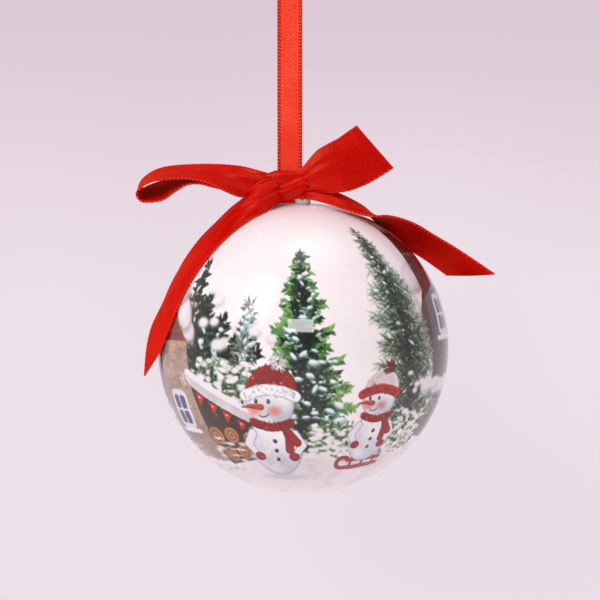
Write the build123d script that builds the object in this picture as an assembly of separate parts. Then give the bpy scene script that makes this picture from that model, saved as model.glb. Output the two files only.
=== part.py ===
from build123d import *
import os

# Christmas ball on a ribbon loop, in millimetres. The origin is inside the top of the hanging
# loop, where a hook bears. +Z is up and -Y is the front, where the bow is.

# Driving dimensions
ball_d = 75.0
loop_drop = 70.0  # from the inside of the loop's top to the top of the ball
ball_shift = 3.4  # the ball hangs this far to the right of the ribbon's line
paper_t = 0.4
core_gap = 0.02  # glue line between the foam and the paper
seam_deg = -67.0  # direction of the first seam between panels, in the XY plane
panel_count = 3

# Hanger peg
flange_r = 5.6
flange_t = 1.0
seat_depth = 1.0  # the flange is pressed this far into the ball's top
stem_r = 1.6
stem_length = 16.0
hole_spare = 0.5  # the hole in the foam is this much deeper than the stem
barb_r = 2.2
barb_length = 3.0
barb_pitch = 4.2
barb_foot_r = 1.57  # a barb's narrow end runs into the stem
barb_count = 3
bail_wire_r = 0.8
bail_half_width = 4.6
bail_height = 4.9  # from the ball's top to the middle of the crossbar
bail_bend_r = 1.0
hole_slack = 0.05
cutter_margin = 1.0  # cutting cylinders run this far past what they cut

# Hanging ribbon
ribbon_w = 6.4
ribbon_t = 0.5
hook_r = 3.0  # radius of the loop's inside top
split_z = -58.0  # the ribbon twists about its middle here
split_gap = 0.4
lap_length = 5.0
lap_drop = 1.5  # from the twist down to the lapped end
lap_gap = 0.15
bend_share = 0.95  # a strip's bends are a little tighter than the half circle it would fit

# Bow
bow_t = 1.2  # plain thickness of a tail, which stands for its curl
knot_size = (11.7, 6.0, 7.9)
knot_middle = (-0.65, -5.0, -66.0)
knot_round = 2.4
loop_face_y = -2.6  # the right loop's back face
loop_depth = 5.0
clear_of_ball = 0.15

# Glue
bead_middle = (3.2, -5.2, -70.3)
bead_r = 2.5

# Worked out from the above
ball_r = ball_d / 2
ball_middle = Vector(ball_shift, 0, -loop_drop - ball_r)
paper_inner_r = ball_r - paper_t
core_r = paper_inner_r - core_gap
seat_z = -loop_drop - seat_depth
flange_top_z = seat_z + flange_t
bar_z = -loop_drop + bail_height
wrap_r = bail_wire_r + hole_slack + ribbon_t / 2
strand_y = hook_r + ribbon_t / 2


def save(part, node):
    part.label = node
    export_step(part, os.path.join("parts", node + ".step"))


def ball(radius):
    return Pos(*ball_middle) * Sphere(radius)


def upright(radius, low_z, high_z):
    """A cylinder about the ribbon's line."""
    return Pos(0, 0, (low_z + high_z) / 2) * Cylinder(radius, high_z - low_z)


# Foam core: a ball with a pressed seat for the flange and a blind hole for the stem
def foam_core():
    seat = upright(flange_r + hole_slack, seat_z, cutter_margin - loop_drop)
    hole = upright(barb_r + hole_slack, seat_z - stem_length - hole_spare, seat_z)
    return ball(core_r) - seat - hole


# Printed paper: equal gores from pole to pole, cut round the flange
def print_panel(index):
    turn = 360 / panel_count
    middle = Plane(origin=ball_middle, x_dir=(1, 0, 0), z_dir=(0, -1, 0))
    ring = Circle(ball_r) - Circle(paper_inner_r)
    half = middle * (ring & Pos(ball_d / 2, 0) * Rectangle(ball_d, 2 * ball_d))
    spin = Axis(ball_middle, (0, 0, 1))
    gore = revolve(half, axis=spin, revolution_arc=turn)
    placed = gore.rotate(spin, seam_deg + index * turn)
    cut = upright(flange_r + 2 * hole_slack, seat_z - cutter_margin, cutter_margin - loop_drop)
    return placed - cut


# Hanger peg: flange, barbed stem and a straight-topped bail, moulded in one
def hanger_peg():
    peg = upright(flange_r, seat_z, flange_top_z)
    peg += upright(stem_r, seat_z - stem_length, seat_z)
    for step in range(barb_count):
        top = seat_z - barb_length - step * barb_pitch
        barb = Cone(barb_foot_r, barb_r, barb_length)
        peg += Pos(0, 0, top - barb_length / 2) * barb
    foot_z = flange_top_z - flange_t / 2
    corners = [
        (-bail_half_width, 0, foot_z),
        (-bail_half_width, 0, bar_z),
        (bail_half_width, 0, bar_z),
        (bail_half_width, 0, foot_z),
    ]
    path = FilletPolyline(*corners, radius=bail_bend_r)
    wire_end = Plane(origin=path @ 0, z_dir=path % 0) * Circle(bail_wire_r)
    return peg + sweep(wire_end, path=path)


# Ribbon strips that lie along a path in the YZ plane, with their flat sides to front and back
def strip(points, radius):
    path = FilletPolyline(*points, radius=radius)
    across = Plane(origin=path @ 0, x_dir=(1, 0, 0), z_dir=path % 0)
    return sweep(across * Rectangle(ribbon_w, ribbon_t), path=path)


def strand_at(z):
    """How far a strand's middle is from the ribbon's line: they close in towards the bail."""
    share = (z - bar_z) / (-hook_r - bar_z)
    return wrap_r + share * (strand_y - wrap_r)


def hanging_ribbon():
    low_y = strand_at(split_z)
    top_z = ribbon_t / 2
    points = [(0, -low_y, split_z), (0, -strand_y, top_z), (0, strand_y, top_z), (0, low_y, split_z)]
    return strip(points, strand_y * bend_share)


def ribbon_wrap():
    high_z = split_z - split_gap
    high_y = strand_at(high_z)
    low_z = bar_z - wrap_r
    points = [(0, -high_y, high_z), (0, -wrap_r, low_z), (0, wrap_r, low_z), (0, high_y, high_z)]
    return strip(points, wrap_r * bend_share)


def ribbon_lap():
    middle_z = split_z - lap_drop - lap_length / 2
    middle_y = strand_at(middle_z) + ribbon_t + lap_gap
    return Pos(0, middle_y, middle_z) * Box(ribbon_w, ribbon_t, lap_length)


# Bow knot: the band that gathers the ribbon, a rounded pad in front of the bail
def bow_knot():
    pad = Box(*knot_size)
    return Pos(*knot_middle) * fillet(pad.edges(), knot_round)


# Left loop: a leaf that reaches to the side, solid here where the real one is an open loop of ribbon
def bow_loop_left():
    # x, then the middle's y and z, then half the depth and half the height
    sections = [
        (-4.5, -5.0, -66.0, 2.4, 2.2),
        (-12.0, -5.2, -64.6, 5.5, 3.6),
        (-22.0, -5.5, -62.9, 7.5, 3.0),
        (-33.0, -5.5, -64.8, 7.5, 3.8),
        (-39.0, -5.5, -66.9, 6.5, 2.2),
    ]
    faces = [
        Plane(origin=(x, y, z), x_dir=(0, 1, 0), z_dir=(-1, 0, 0)) * Ellipse(deep, high)
        for x, y, z, deep, high in sections
    ]
    return loft(faces, ruled=True) - bow_knot()


# Right loop: a flat leaf with a creased end, facing the front
def bow_loop_right():
    outline = [(3.5, -67.0), (3.5, -61.5), (8.8, -55.7), (16.9, -49.9), (26.7, -61.3), (15.8, -66.5)]
    face = Plane.XZ.offset(-loop_face_y) * make_face(Polyline(*outline, close=True))
    return extrude(face, amount=loop_depth, dir=(0, -1, 0)) - bow_knot()


# Tails: strips whose two edges run over the ball's shoulders, thickened away from the ball. Each pair is a
# point of the back or upper edge, then one of the front or lower edge. The right tail turns over half way.
def tail(edge_pairs):
    faces = []
    for back, front in edge_pairs:
        back, front = Vector(*back), Vector(*front)
        outward = ((back + front) * 0.5 - ball_middle).normalized() * bow_t
        faces.append(Face(Wire.make_polygon([back, front, front + outward, back + outward])))
    return loft(faces, ruled=True) - ball(ball_r + clear_of_ball)


def bow_tail_left():
    pairs = [
        ((-4.0, -3.2, -67.6), (-4.0, -6.8, -69.8)),
        ((-11.4, -4.5, -69.2), (-9.8, -12.0, -72.9)),
        ((-17.5, -3.0, -73.7), (-13.6, -15.6, -77.0)),
        ((-23.1, -3.3, -79.6), (-18.5, -17.5, -81.5)),
        ((-30.1, -5.0, -90.4), (-25.8, -19.4, -92.2)),
        ((-34.2, -3.4, -98.0), (-29.4, -17.8, -99.3)),
        ((-36.9, -1.6, -107.9), (-31.7, -15.4, -105.8)),
        ((-37.7, 0.4, -114.8), (-32.4, -14.6, -107.6)),
    ]
    return tail(pairs) - bow_knot() - bow_loop_left()


def bow_tail_right():
    pairs = [
        ((3.0, -3.4, -66.0), (3.0, -6.6, -69.0)),
        ((7.2, -2.4, -66.5), (5.6, -8.2, -69.3)),
        ((11.6, -1.0, -67.5), (9.9, -10.0, -70.5)),
        ((15.8, 0.6, -69.2), (13.9, -11.2, -71.9)),
        ((19.2, 1.8, -71.3), (17.6, -12.0, -73.1)),
        ((21.5, 2.6, -74.1), (20.9, -12.2, -73.7)),
        ((24.2, 2.8, -76.7), (24.2, -12.0, -73.5)),
        ((27.1, 2.4, -79.3), (28.2, -11.8, -74.3)),
        ((30.4, 2.0, -81.8), (32.0, -11.6, -75.8)),
        ((34.2, 1.6, -84.1), (36.0, -11.3, -78.2)),
        ((37.8, 1.4, -86.6), (41.9, -11.0, -81.7)),
        ((40.7, 1.2, -88.7), (51.7, -10.6, -88.2)),
    ]
    return tail(pairs) - bow_knot() - bow_loop_right()


# Glue: a clear bead under the knot, on the flange and the ball
def glue_bead(neighbours):
    bead = Pos(*bead_middle) * Sphere(bead_r)
    for neighbour in neighbours:
        bead -= neighbour
    return max(bead.solids(), key=lambda solid: solid.volume)


os.makedirs("parts", exist_ok=True)
peg = hanger_peg()
knot = bow_knot()
loop_left = bow_loop_left()
loop_right = bow_loop_right()
tail_left = bow_tail_left()
tail_right = bow_tail_right()
bead = glue_bead([ball(ball_r + core_gap), peg, knot, loop_right, tail_left, tail_right])
save(foam_core(), "foam_core")
for index in range(panel_count):
    save(print_panel(index), f"print_panel_{index + 1}")
save(peg, "hanger_peg")
save(bead, "glue_bead")
save(knot, "bow_knot")
save(loop_left, "bow_loop_left")
save(loop_right, "bow_loop_right")
save(tail_left, "bow_tail_left")
save(tail_right, "bow_tail_right")
save(hanging_ribbon(), "hanging_ribbon")
save(ribbon_wrap(), "ribbon_wrap")
save(ribbon_lap(), "ribbon_lap")
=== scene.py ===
import math

import bpy
import numpy as np
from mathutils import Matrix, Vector, noise


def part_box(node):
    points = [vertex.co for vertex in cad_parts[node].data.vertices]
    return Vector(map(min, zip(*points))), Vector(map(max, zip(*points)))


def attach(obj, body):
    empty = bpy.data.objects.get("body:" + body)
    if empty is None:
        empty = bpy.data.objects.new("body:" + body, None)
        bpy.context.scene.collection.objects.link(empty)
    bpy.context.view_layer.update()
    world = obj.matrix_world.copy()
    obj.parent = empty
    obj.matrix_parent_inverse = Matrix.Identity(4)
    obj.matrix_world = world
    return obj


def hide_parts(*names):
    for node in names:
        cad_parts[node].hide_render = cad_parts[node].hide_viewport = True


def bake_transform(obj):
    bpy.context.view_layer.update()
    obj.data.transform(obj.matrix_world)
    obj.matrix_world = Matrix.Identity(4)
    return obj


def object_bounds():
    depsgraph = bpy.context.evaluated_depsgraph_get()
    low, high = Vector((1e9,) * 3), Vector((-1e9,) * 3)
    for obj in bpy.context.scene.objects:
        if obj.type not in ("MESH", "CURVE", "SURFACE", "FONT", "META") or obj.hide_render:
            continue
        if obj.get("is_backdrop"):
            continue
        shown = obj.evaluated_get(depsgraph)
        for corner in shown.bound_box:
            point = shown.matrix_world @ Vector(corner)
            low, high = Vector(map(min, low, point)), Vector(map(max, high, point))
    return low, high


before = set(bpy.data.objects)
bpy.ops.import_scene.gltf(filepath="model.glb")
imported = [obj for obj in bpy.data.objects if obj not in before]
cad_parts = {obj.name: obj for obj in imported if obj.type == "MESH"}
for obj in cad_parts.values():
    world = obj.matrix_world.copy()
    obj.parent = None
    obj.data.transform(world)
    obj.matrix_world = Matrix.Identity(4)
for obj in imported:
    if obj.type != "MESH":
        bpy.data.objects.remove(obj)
cad_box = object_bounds()
scene = bpy.context.scene

# Camera: level with the ball and straight on to the bow, with a portrait lens.
# It takes in the ball, the bow and the lower half of the hanging loop.
scene.view_settings.view_transform = "Standard"
camera = bpy.data.objects.new("camera", bpy.data.cameras.new("camera"))
scene.collection.objects.link(camera)
scene.camera = camera
camera.data.lens = 100
camera_rise = math.radians(2)
camera_aim = Vector((0.0026, 0, -0.0951))
camera.location = camera_aim + 0.431 * Vector((0, -math.cos(camera_rise), math.sin(camera_rise)))
camera.rotation_euler = (math.radians(90) - camera_rise, 0, 0)


# Hanging loop: one length of 6.4 mm red satin ribbon with corded edges. It starts behind the knot, turns
# under the peg's bail, goes up the front and over the hook, and comes down the back, where its end is
# glued over its start.
class Socket:
    """A value in a material: maths on it adds Math nodes, and node adds any other node."""

    def __init__(self, tree, socket=None):
        self.tree, self.socket = tree, socket

    def node(self, kind, inputs=(), out=0, **settings):
        made = self.tree.nodes.new("ShaderNode" + kind)
        for name, setting in settings.items():
            setattr(made, name, setting)
        for place, value in dict(inputs).items():
            if isinstance(value, Socket):
                self.tree.links.new(value.socket, made.inputs[place])
            else:
                made.inputs[place].default_value = value
        return Socket(self.tree, made.outputs[out])

    def maths(self, operation, one, other):
        return self.node("Math", {0: one, 1: other}, operation=operation)

    def __add__(self, other):
        return self.maths("ADD", self, other)

    def __sub__(self, other):
        return self.maths("SUBTRACT", self, other)

    def __rsub__(self, other):
        return self.maths("SUBTRACT", other, self)

    def __mul__(self, other):
        return self.maths("MULTIPLY", self, other)

    def __abs__(self):
        return self.node("Math", {0: self}, operation="ABSOLUTE")

    __radd__ = __add__
    __rmul__ = __mul__


def new_material(name, **finish):
    """A material, its shader with the finish set on its own sockets, and a Socket to add nodes with."""
    material = bpy.data.materials.new(name)
    material.use_nodes = True
    shader = material.node_tree.nodes["Principled BSDF"]
    for socket, value in finish.items():
        shader.inputs[socket.replace("_", " ")].default_value = value
    return material, shader, Socket(material.node_tree)


def feed(shader, **values):
    """Link what changes over a surface to the shader's own sockets."""
    for name, value in values.items():
        value.tree.links.new(value.socket, shader.inputs[name.replace("_", " ")])


def wave(phase):
    """From 0 to 1 and back, once for every turn of the phase, in radians."""
    return phase.node("Math", {0: phase}, operation="SINE") * 0.5 + 0.5


def fade(value, start, end):
    """0 up to start, 1 from end on, and smooth between them."""
    ends = {"Value": value, "From Min": start, "From Max": end}
    return value.node("MapRange", ends, interpolation_type="SMOOTHSTEP")


def mixed(factor, one, other, blend="MIX"):
    """Two colours through a Mix node."""
    return factor.node("Mix", {0: factor, 6: one, 7: other}, 2, data_type="RGBA", blend_type=blend)


def grain(start, scale, detail, swirl=0.0):
    """Cloudy noise through the piece, about that many clouds to the metre."""
    place = start.node("TexCoord", out=3)
    return start.node("TexNoise", {"Vector": place, "Scale": scale, "Detail": detail, "Distortion": swirl})


def satin(name, deep, bright, edge, width, pitch, yarn, lean, depth, reach, **finish):
    """Woven satin of that width. Its yarns stand that far apart, lean that much and show that deep. Its
    edge is stitched in the edge colour, at that pitch and as far in as reach, in millimetres. An edge
    colour lighter than the face is a painted highlight on the stitches. The yarns' coral gleam is a
    second, metal-like shader, since a plain one would gleam white."""
    material, shader, start = new_material(name, **finish)
    weave_gap, float_gap, gleam_share = 0.62, 0.88, 0.05
    along, across = (
        start.node("SeparateXYZ", {0: start.node("UVMap", uv_map="ribbon")}, out)
        for out in (0, 1)
    )
    cloud, slub = grain(start, 90.0, 3.0), grain(start, 1400.0, 2.0)
    float_yarns = wave((along * lean + across) * (math.tau / yarn) + slub * 4)
    crossing = wave(along * (math.tau / weave_gap) + wave(across * (math.tau / float_gap)) * 2.4)
    from_edge = width / 2 - abs(across)
    cord = 1 - fade(from_edge, reach - 0.15, reach)
    stitch = fade(wave(along * (math.tau / pitch) + from_edge * 3.2), 0.42, 0.68)
    face = mixed(fade(cloud, 0.35, 0.65), deep, bright)
    face = mixed(float_yarns * depth + crossing * depth * 0.4, face, [c * 0.55 for c in deep[:3]] + [1])
    # Painted highlight where the edge colour is lighter than the face, as on the bow: the stitches are drawn
    # lit.
    colour = mixed(cord * stitch, face, edge)
    height = float_yarns * 0.6 + crossing * 0.4 + cord * stitch * 1.2
    bump = start.node("Bump", {"Strength": 0.5, "Distance": 0.00006, "Height": height})
    rough = 0.29 + (cloud - 0.5) * 0.12 + cord * 0.14
    feed(shader, Base_Color=colour, Normal=bump, Roughness=rough)
    coral = (1, 0.3, 0.18, 1)
    metal = {"Base Color": coral, "Metallic": 1.0, "Roughness": rough, "Specular Tint": coral, "Normal": bump}
    gleam = start.node("BsdfPrincipled", metal)
    both = start.node("MixShader", {0: gleam_share, 1: Socket(start.tree, shader.outputs[0]), 2: gleam})
    feed(start.tree.nodes["Material Output"], Surface=both)
    return material


def quads(grid):
    """Faces between the rows and columns of a grid of corner numbers."""
    return np.stack([grid[:-1, :-1], grid[1:, :-1], grid[1:, 1:], grid[:-1, 1:]], -1).reshape(-1, 4)


def border(grid):
    """The corner numbers round the edge of a grid, in order."""
    return np.concatenate([grid[0, :-1], grid[:-1, -1], grid[-1, :0:-1], grid[:0:-1, 0]])


def add_piece(name, points, faces, material):
    """A smooth mesh object from its corners, in metres, and its faces."""
    mesh = bpy.data.meshes.new(name)
    mesh.from_pydata(np.asarray(points).tolist(), [], [list(map(int, face)) for face in faces])
    mesh.shade_smooth()
    mesh.materials.append(material)
    piece = bpy.data.objects.new(name, mesh)
    scene.collection.objects.link(piece)
    return piece


def add_strip(name, sheet, width, thickness, pitch, material):
    """A ribbon as a closed strip about a sheet of points in millimetres, with rows along it and columns
    across. Its edges are corded at that pitch, and its UV map holds millimetres along and across."""
    rows, columns = sheet.shape[:2]
    middle = sheet[:, columns // 2]
    along = np.concatenate([[0], np.cumsum(np.linalg.norm(np.diff(middle, axis=0), axis=1))])
    across = np.linspace(-width / 2, width / 2, columns)
    outward = np.cross(np.gradient(sheet, axis=0), np.gradient(sheet, axis=1))
    outward /= np.linalg.norm(outward, axis=2)[..., None]
    edge = np.clip(1 - (width / 2 - abs(across)) / 0.75, 0, 1) ** 0.5
    stitch = 0.5 + 0.5 * np.sin(math.tau * along / pitch)
    half = thickness / 2 * (1 + edge[None, :] * (0.25 + 0.5 * stitch[:, None]))
    lift = outward * half[..., None]
    count = rows * columns
    grid = np.arange(count).reshape(rows, columns)
    rim = border(grid)
    ahead = np.roll(rim, -1)
    faces = np.concatenate(
        [quads(grid), quads(grid)[:, ::-1] + count, np.stack([rim, ahead, ahead + count, rim + count], -1)]
    )
    points = np.concatenate([(sheet + lift).reshape(-1, 3), (sheet - lift).reshape(-1, 3)]) / 1000
    piece = add_piece(name, points, faces, material)
    corner = np.zeros(len(piece.data.loops), int)
    piece.data.loops.foreach_get("vertex_index", corner)
    corner %= count
    place = np.stack([along[corner // columns], across[corner % columns]], -1)
    piece.data.uv_layers.new(name="ribbon").data.foreach_set("uv", place.ravel())
    piece.data.set_sharp_from_angle(angle=math.radians(55))
    return piece, along[-1] / 1000


def points_along(route, spacing):
    """Points spread evenly along the smooth spline of a route, in millimetres."""
    line = bpy.data.curves.new("route", "CURVE")
    line.dimensions = "3D"
    spline = line.splines.new("NURBS")
    spline.points.add(len(route) - 1)
    for point, place in zip(spline.points, route):
        point.co = (*place, 1)
    spline.order_u = 3
    spline.use_endpoint_u = True
    spline.resolution_u = 80
    holder = bpy.data.objects.new("route", line)
    mesh = bpy.data.meshes.new_from_object(holder)
    read = np.array([corner.co for corner in mesh.vertices])
    bpy.data.objects.remove(holder)
    bpy.data.meshes.remove(mesh)
    far = np.concatenate([[0], np.cumsum(np.linalg.norm(np.diff(read, axis=0), axis=1))])
    at = np.linspace(0, far[-1], int(far[-1] / spacing))
    return np.stack([np.interp(at, far, read[:, axis]) for axis in range(3)], -1)


hanger_width = 6.4
hanger_stitch = 0.85
hanger_route = [
    (0, 1.29, -59.5),
    (0, 1.17, -64.0),
    (0, 1.10, -66.2),
    (0, -1.10, -66.2),
    (0, -1.17, -64.0),
    (0, -3.14, -6.25),
    (0, -3.25, 0.25),
    (0, 3.25, 0.25),
    (0, 3.14, -6.25),
    (0, 1.45, -57.0),
    (0, 1.70, -60.0),
    (0, 1.66, -64.5),
]
hanger_satin = satin(
    "hanger_satin",
    # Painted sheen: both colours are lighter and more orange than the bow's red, for the light on the loop's
    # front.
    deep=(0.98, 0.035, 0.016, 1),
    bright=(1.0, 0.06, 0.03, 1),
    edge=(0.34, 0.005, 0.004, 1),
    width=hanger_width,
    pitch=hanger_stitch,
    yarn=1.0,
    lean=0.9,
    depth=0.4,
    reach=1.0,
    Specular_IOR_Level=0.0,
    Sheen_Weight=0.3,
    Sheen_Roughness=0.3,
    Sheen_Tint=(1, 0.3, 0.2, 1),
)
hanger_line = points_along(hanger_route, 0.12)
hanger_far = np.linspace(0, 1, len(hanger_line))
above_bail = np.clip((hanger_line[:, 2] + 60) / 12, 0, 1)  # it lies flat on the bail
hanger_twist = np.radians(3.5) * np.sin(hanger_far * 19) * above_bail
hanger_side = np.stack([np.cos(hanger_twist), np.sin(hanger_twist), np.zeros(len(hanger_line))], -1)
hanger_across = np.linspace(-hanger_width / 2, hanger_width / 2, 17)
hanger_sheet = hanger_line[:, None, :] + hanger_side[:, None, :] * hanger_across[None, :, None]
hanging_loop, hanger_length = add_strip(
    "hanging_loop_ribbon", hanger_sheet, hanger_width, 0.3, hanger_stitch, hanger_satin
)
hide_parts("hanging_ribbon", "ribbon_wrap", "ribbon_lap")
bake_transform(hanging_loop)

# Bow: one length of 15 mm red satin ribbon with a stitched edge, tied in front of the bail. It is made
# here as its two loops, its two tails and the band of the knot, each gathered where the knot grips it.
bow_width = 15.0
bow_thickness = 0.3
bow_stitch = 1.0
bow_satin = satin(
    "bow_satin",
    deep=(0.70, 0.0012, 0.0006, 1),
    bright=(0.84, 0.003, 0.001, 1),
    # Painted highlight: these coral stitches, lighter than the face, stand for the edge catching the light.
    edge=(0.95, 0.05, 0.03, 1),
    width=bow_width,
    pitch=bow_stitch,
    yarn=0.5,
    lean=0.3,
    depth=0.25,
    reach=0.5,
    Specular_IOR_Level=0.0,
    Sheen_Weight=0.6,
    Sheen_Roughness=0.26,
    Sheen_Tint=(1, 0.22, 0.13, 1),
)
ball_r, ball_middle = 37.5, np.array((3.4, 0, -107.5))


def smooth_through(knots, spacing):
    """Smooth curves through the knots, row by row, at evenly spread places along them."""
    knots = np.array(knots, float)
    gaps = np.linalg.norm(np.diff((knots[:, :3] + knots[:, 3:6]) / 2, axis=0), axis=1) + 0.4
    place = np.concatenate([[0], np.cumsum(gaps)])
    slope = np.gradient(knots, place, axis=0)
    at = np.linspace(0, place[-1], int(place[-1] / spacing))
    k = np.clip(np.searchsorted(place, at, side="right") - 1, 0, len(gaps) - 1)
    gap = gaps[k][:, None]
    t = (at - place[k])[:, None] / gap
    start = knots[k] * (1 + 2 * t) * (1 - t) ** 2 + slope[k] * gap * t * (1 - t) ** 2
    return start + knots[k + 1] * t * t * (3 - 2 * t) + slope[k + 1] * gap * t * t * (t - 1)


def sheet_between(stations, shift, off_ball):
    """A sheet of points between a ribbon's two edges. Each station holds x, y and z on the back or upper
    edge, the same on the front or lower edge, how far the middle stands out and how deep the gathers are."""
    rows = smooth_through(stations, 0.2)
    share = np.linspace(0, 1, 57)[None, :, None]
    back, front = rows[:, None, :3], rows[:, None, 3:6]
    outward = np.cross(np.gradient((back + front)[:, 0] / 2, axis=0), (front - back)[:, 0])
    outward /= np.linalg.norm(outward, axis=1)[:, None]
    folds = np.sin(math.tau * (2.7 * share + shift))
    folds = folds + 0.6 * np.sin(math.tau * (4.6 * share + 1.7 * shift))
    rise = rows[:, None, 6:7] * 4 * share * (1 - share) + rows[:, None, 7:8] * folds
    sheet = back + (front - back) * share + outward[:, None, :] * rise
    if off_ball:
        gap = sheet - ball_middle
        far = np.linalg.norm(gap, axis=2)[..., None]
        sheet += gap / far * np.clip(ball_r + off_ball - far, 0, None)
    return sheet


def add_bow_ribbon(name, node, sheet, held):
    piece, length = add_strip(name, sheet, bow_width, bow_thickness, bow_stitch, bow_satin)
    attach(piece, "ball")
    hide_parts(node)
    return piece


left_loop = [
    (-3.3, -4.6, -63.3, -3.3, -5.6, -68.4, 0.6, 0.3),
    (-7.9, -3.4, -62.2, -8.3, -7.0, -68.8, 1.0, 0.32),
    (-12.4, -1.5, -61.0, -12.6, -9.5, -68.5, 1.1, 0.22),
    (-16.5, 0.2, -60.4, -16.0, -11.6, -67.3, 0.8, 0.1),
    (-21.0, 1.5, -60.1, -19.5, -12.4, -65.7, 0.4, 0.03),
    (-25.9, 2.0, -60.2, -24.0, -12.6, -64.4, 0.1, 0.04),
    (-30.6, 2.0, -60.5, -28.2, -12.6, -64.2, 0, 0),
    (-34.2, 2.0, -61.3, -32.0, -12.6, -64.5, 0, 0),
    (-37.1, 2.0, -62.9, -35.4, -12.6, -65.3, 0, 0),
    (-38.7, 2.0, -64.6, -37.5, -12.6, -66.7, 0, 0),
    (-39.1, 2.0, -65.8, -38.4, -12.6, -68.2, 0, 0),
    (-38.2, 2.0, -66.2, -37.5, -12.6, -69.7, 0, 0),
    (-36.3, 2.0, -65.4, -35.0, -12.6, -70.1, 0, 0),
    (-33.7, 2.0, -64.5, -31.7, -12.6, -69.5, 0, 0),
    (-30.6, 2.0, -63.4, -29.0, -12.6, -67.7, 0, 0),
    (-26.9, 1.6, -62.6, -25.7, -12.4, -65.8, 0, 0.02),
    (-23.3, 1.0, -62.5, -22.5, -11.8, -65.6, 0, 0.05),
    (-19.6, 0.0, -62.6, -19.1, -10.6, -66.5, 0, 0.1),
    (-15.4, -1.0, -63.1, -15.6, -8.2, -67.2, 0, 0.2),
    (-10.2, -2.6, -63.7, -10.7, -5.4, -67.2, 0, 0.3),
    (-4.6, -3.6, -64.2, -4.6, -4.6, -67.3, 0, 0.3),
]
right_loop = [
    (0.0, -5.5, -63.3, 0.0, -5.5, -67.4, -0.5, 0.3),
    (3.3, -6.2, -61.2, 3.9, -6.4, -67.6, -0.9, 0.26),
    (4.9, -6.4, -59.3, 7.2, -7.0, -67.4, -1.1, 0.15),
    (6.9, -6.6, -57.0, 10.4, -7.5, -67.6, -1.0, 0.08),
    (9.4, -6.8, -55.4, 14.0, -7.9, -67.4, -0.8, 0.03),
    (12.2, -6.9, -53.9, 17.5, -8.0, -66.4, -0.6, 0),
    (14.6, -6.9, -52.2, 21.0, -7.9, -64.7, -0.4, 0),
    (16.5, -6.8, -50.9, 25.8, -7.5, -61.7, -0.15, 0),
    (16.9, -6.0, -50.6, 26.3, -6.6, -61.4, 0, 0),
    (16.2, -4.4, -51.2, 24.8, -4.8, -62.4, 0, 0),
    (12.1, -3.5, -54.0, 18.2, -3.7, -66.0, -0.2, 0.04),
    (8.0, -3.3, -56.6, 12.3, -3.3, -66.9, -0.2, 0.1),
    (4.9, -3.4, -59.9, 7.2, -3.4, -66.9, -0.1, 0.2),
    (2.1, -3.8, -62.2, 2.6, -3.8, -66.8, 0, 0.25),
]
right_tail = [
    (2.6, -3.6, -65.8, 2.6, -6.4, -68.9, -0.4, 0.3),
    (7.2, -2.4, -66.5, 5.6, -8.2, -69.3, -0.9, 0.35),
    (11.6, -1.0, -67.5, 9.9, -10.0, -70.5, -1.2, 0.2),
    (15.8, 0.6, -69.2, 13.9, -11.2, -71.9, -1.1, 0.1),
    (19.2, 1.8, -71.3, 17.6, -12.0, -73.1, -1.0, 0.03),
    (21.5, 2.6, -74.1, 20.9, -12.2, -73.7, -0.8, 0),
    (24.2, 2.8, -76.7, 24.2, -12.0, -73.5, -0.6, 0),
    (27.1, 2.4, -79.3, 28.2, -11.8, -74.3, -0.5, 0),
    (30.4, 2.0, -81.8, 32.0, -11.6, -75.8, -0.3, 0),
    (34.2, 1.6, -84.1, 36.0, -11.3, -78.2, -0.2, 0),
    (37.8, 1.4, -86.6, 41.9, -11.0, -81.7, 0, 0),
    (40.7, 1.2, -88.7, 51.7, -10.6, -88.2, 0.3, 0),
]
left_tail = [
    (-4.3, -6.6, -63.7, -2.0, -7.4, -69.6, 0.9, 0.2),
    (-8.3, -7.8, -65.5, -5.5, -10.6, -72.3, 1.4, 0.24),
    (-11.3, -5.4, -68.8, -9.4, -12.8, -74.2, 1.4, 0.16),
    (-15.1, -3.0, -71.6, -13.1, -14.8, -77.0, 1.2, 0.07),
    (-19.2, -3.0, -75.5, -16.3, -16.4, -80.0, 0.9, 0.02),
    (-22.8, -3.0, -79.1, -19.5, -17.6, -83.9, 0.7, 0),
    (-26.9, -3.6, -84.7, -22.7, -18.4, -88.4, 0.7, 0),
    (-29.7, -4.0, -90.1, -25.9, -18.6, -93.7, 0.7, 0),
    (-32.8, -4.0, -96.5, -28.4, -18.0, -98.9, 0.6, 0),
    (-35.7, -3.0, -102.7, -30.5, -16.6, -103.2, 0.4, 0),
    (-36.9, -1.6, -107.9, -31.7, -15.4, -105.8, 0.2, 0),
    (-37.7, 0.4, -114.8, -32.4, -14.6, -107.6, 0, 0),
]
for side, part, stations, shift, off_ball, held, rests_on in (
    ("left", "loop", left_loop, 0.1, 0, "folded", "bow_knot"),
    ("right", "loop", right_loop, 0.4, 0, "folded", "bow_knot"),
    ("right", "tail", right_tail, 0.7, 0.3, "draped", "print_panel_3"),
    ("left", "tail", left_tail, 0.2, 0.3, "draped", "print_panel_3"),
):
    sheet = sheet_between(stations, shift, off_ball)
    add_bow_ribbon(f"bow_{side}_{part}_ribbon", f"bow_{part}_{side}", sheet, held)

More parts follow.
